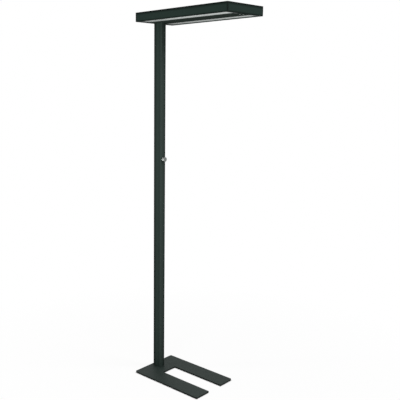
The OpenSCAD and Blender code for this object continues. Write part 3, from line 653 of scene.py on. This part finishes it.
def faceted_lens(material):
    """The presence sensor's lens: a shallow dome of flat facets in rings, point down.

    A ring at angle a lies at radius R * sin(a) / sin(A) and drops by the dome's height times
    1 - (1 - cos(a)) / (1 - cos(A)), with a going from 0 at the point to A at the rim; every second ring
    is turned by half a facet.
    """
    low, high = box_of("presence_lens")
    centre, (radius, _, height) = (low + high) / 2, (high - low) * (0.5, 0.5, 1)
    angle = np.linspace(0, LENS_STEEPEST, LENS_RINGS)[:, None]
    out = radius * np.sin(angle) / math.sin(LENS_STEEPEST)
    drop = height * (1 - (1 - np.cos(angle)) / (1 - math.cos(LENS_STEEPEST)))
    turns = np.linspace(0, 2 * math.pi, LENS_FACETS, endpoint=False)
    turns = turns + (np.arange(LENS_RINGS) % 2)[:, None] * math.pi / LENS_FACETS
    dome = np.stack([centre[0] + out * np.cos(turns), centre[1] + out * np.sin(turns),
                     high[2] - drop + 0 * turns], axis=-1)
    lid = np.broadcast_to([centre[0], centre[1], high[2]], (1, LENS_FACETS, 3))
    mesh = grid_mesh("faceted_lens", np.concatenate([dome, lid]))
    stand_in(in_scene("faceted_lens", mesh), material, "presence_lens")


# ---- The lamp ----

def dress(material, *names):
    """Gives CAD nodes one material."""
    for name in names:
        set_material(NODES[name].data, material)


def finish_foot():
    """The plate with its laser-cut edges broken, the pads under it and the mast that stands on it."""
    softened("base_plate", "foot_plate", plate_coat(), edge=0.6 * MM)
    dress(mast_coat(), "mast")
    dress(pad_rubber(), "base_pads")


def finish_head():
    """The frame, the covers over it, its light chambers and the driver.

    The four rails' edges are broken, so that a hairline shows at each mitre.
    """
    # The head's coat has painted shade at its edges and on its sides below the top.
    head = powder_coat("head_coat", shade=(36, 48, 44), gloss=0.02, roughness=0.7, box=HEAD)
    for side in ("near", "far", "mast_end", "free_end"):
        softened("rail_" + side, "frame_rail_" + side, head, edge=0.3 * MM)
    softened("top_cover", "cover_strip", head, edge=0.4 * MM)
    softened("chamber_end_caps", "end_caps", moulded("end_cap_moulding", colour(34, 42, 39)),
             edge=0.3 * MM)
    dress(powder_coat("spine_coat", shade=(40, 47, 44), gloss=0.0, roughness=0.75), "spine_beam")
    dress(white_coat("chamber_coat", shade=(238, 238, 233)), "chamber_near", "chamber_far")
    dress(white_coat("board_mask", shade=(244, 244, 240)),
          "down_board_near", "down_board_far", "up_board_near", "up_board_far")
    dress(opal_sheet("opal_sheet", lit=colour(190, 196, 194), dim=colour(133, 137, 135)),
          "down_diffuser_near", "down_diffuser_far")
    dress(opal_sheet("frosted_sheet", lit=colour(222, 225, 223), dim=colour(196, 200, 198)),
          "up_diffuser_near", "up_diffuser_far")
    dress(moulded("driver_case", colour(226, 226, 221), roughness=0.33), "driver")


def finish_fittings():
    """Fasteners, mouldings and leads, then the dimmer with its knob, and the sensors."""
    dress(zinc_plate(), "base_screws", "dimmer_washer", "dimmer_nut", "knob_set_screw", "key_screws",
          "spine_brackets", "slide_nuts", "bracket_screws", "mast_plate", "head_screws", "cover_screws",
          "driver_screws", "corner_keys", "dimmer_housing")
    black = moulded("black_moulding", colour(38, 40, 42))
    dress(black, "push_switch", "sensor_housing")
    softened("cable_bushing", "strain_relief", black, edge=0.4 * MM)
    dress(moulded("grey_moulding", colour(140, 145, 144)), "mains_coupler", "terminal_block")
    dress(lead_jacket(), "mains_lead", "control_lead", "driver_lead", "board_leads", "sensor_lead")
    dress(board_laminate(), "dimmer_board", "sensor_board")
    dress(turned_steel("turned_steel", colour(176, 180, 178), colour(204, 207, 204), roughness=0.2),
          "dimmer_shaft", "push_plunger")
    turned_knob(turned_steel("knob_steel", colour(114, 118, 116), colour(136, 139, 137),
                             roughness=0.22))
    faceted_lens(milky_lens("presence_milk", colour(88, 92, 90), colour(104, 108, 106)))
    dress(milky_lens("daylight_milk", colour(214, 217, 214), colour(232, 234, 231)), "daylight_lens")


# ---- Studio ----

WHITE = (1.0, 1.0, 1.0, 1.0)
FILL_LEVEL = 0.4
FLOOR_SIZE = 14.0

# The share of plain white that the floor shows, from the middle of the lamp out to where its shadow
# starts to fade, and the length over which it fades.
FLOOR_WHITE = 0.9
FADE_FROM, FADE_LENGTH = 0.48, 1.2

# The dark contact under the foot plate ends this far outside it.
CONTACT_REACH = 3 * MM

# Name, place, the point that it faces, its side in metres and its power in watts.
SOFTBOXES = [
    ("key_light", (1.7, 1.2, 3.3), (0, 0, 0.8), 1.2, 60),
    ("side_light", (0.4, -1.25, 1.35), (-0.22, 0, 1.2), 0.5, 11.5),
    ("rim_light", (-1.54, -1.46, 1.4), (-0.22, 0, 1.2), 0.3, 14),
    ("back_light", (-2.2, 1.6, 2.7), (-0.2, 0, 1.2), 0.8, 12),
]


def white_to_view(tree):
    """1 for rays that should see plain white: from the camera, in gloss and through clear pieces."""
    path = tree.nodes.new("ShaderNodeLightPath")
    camera, gloss, clear = (Value(tree, path.outputs[f"Is {kind} Ray"])
                            for kind in ("Camera", "Glossy", "Transmission"))
    return camera.most(gloss).most(clear)


def make_world():
    """White to the view, a plain level of light for everything else."""
    world = bpy.data.worlds.new("studio")
    bpy.context.scene.world = world
    world.use_nodes = True
    tree = world.node_tree
    background = tree.nodes["Background"]
    feed(tree, background.inputs["Color"], WHITE)
    feed(tree, background.inputs["Strength"], white_to_view(tree).between(FILL_LEVEL, 1))


def under_foot(finish):
    """1 on the floor under the foot plate, falling to 0 just outside its outline and inside its slot."""
    x, y, _ = finish.axes()
    (back, _, _), (front, half, _) = FOOT.tolist()
    in_plate = (x - back).least(front - x).least(half - abs(y))
    out_of_slot = (back + SLOT_FROM_BACK - x).most(abs(y) - SLOT_HALF)
    return (in_plate.least(out_of_slot) / CONTACT_REACH + 1).clamped()


def make_floor():
    """Pale floor under the pads. It shows the lamp's soft shadow, is darkest under the foot plate, and
    turns to plain white with distance."""
    mesh = bpy.data.meshes.new("floor")
    half = FLOOR_SIZE / 2
    corners = [(-half, -half, 0), (half, -half, 0), (half, half, 0), (-half, half, 0)]
    mesh.from_pydata(corners, [], [(0, 1, 2, 3)])
    pale = Finish("floor", Base_Color=colour(235, 235, 234), Roughness=0.8, Specular_IOR_Level=0.1)
    tree = pale.tree
    x, y, _ = pale.axes()
    distance = (x * x + y * y) ** 0.5
    plain = ((distance - FADE_FROM) / FADE_LENGTH).clamped().between(FLOOR_WHITE, 1)
    glow = tree.nodes.new("ShaderNodeEmission")
    feed(tree, glow.inputs["Color"], WHITE)
    mix = tree.nodes.new("ShaderNodeMixShader")
    feed(tree, mix.inputs[0], white_to_view(tree) * plain * (1 - under_foot(pale)))
    tree.links.new(pale.surface.outputs[0], mix.inputs[1])
    tree.links.new(glow.outputs[0], mix.inputs[2])
    tree.links.new(mix.outputs[0], tree.nodes["Material Output"].inputs["Surface"])
    set_material(mesh, pale.material)
    in_scene("floor", mesh)


def add_softbox(name, at, towards, size, power):
    """A square area light that faces a point."""
    data = bpy.data.lights.new(name, "AREA")
    data.shape = "SQUARE"
    data.size = size
    data.energy = power
    softbox = in_scene(name, data)
    back = np.array(at, float) - np.array(towards, float)
    back /= np.linalg.norm(back)
    side = np.cross([0, 0, 1], back)
    side /= np.linalg.norm(side)
    set_pose(softbox, side, np.cross(back, side), back, at)
    softbox.visible_camera = False


def make_studio():
    """Even light all round, a pale floor, and the soft lights."""
    make_world()
    make_floor()
    for softbox in SOFTBOXES:
        add_softbox(*softbox)
    bpy.context.scene.view_settings.view_transform = "Standard"


# ---- The scene ----

make_camera()
finish_foot()
finish_head()
finish_fittings()
make_studio()
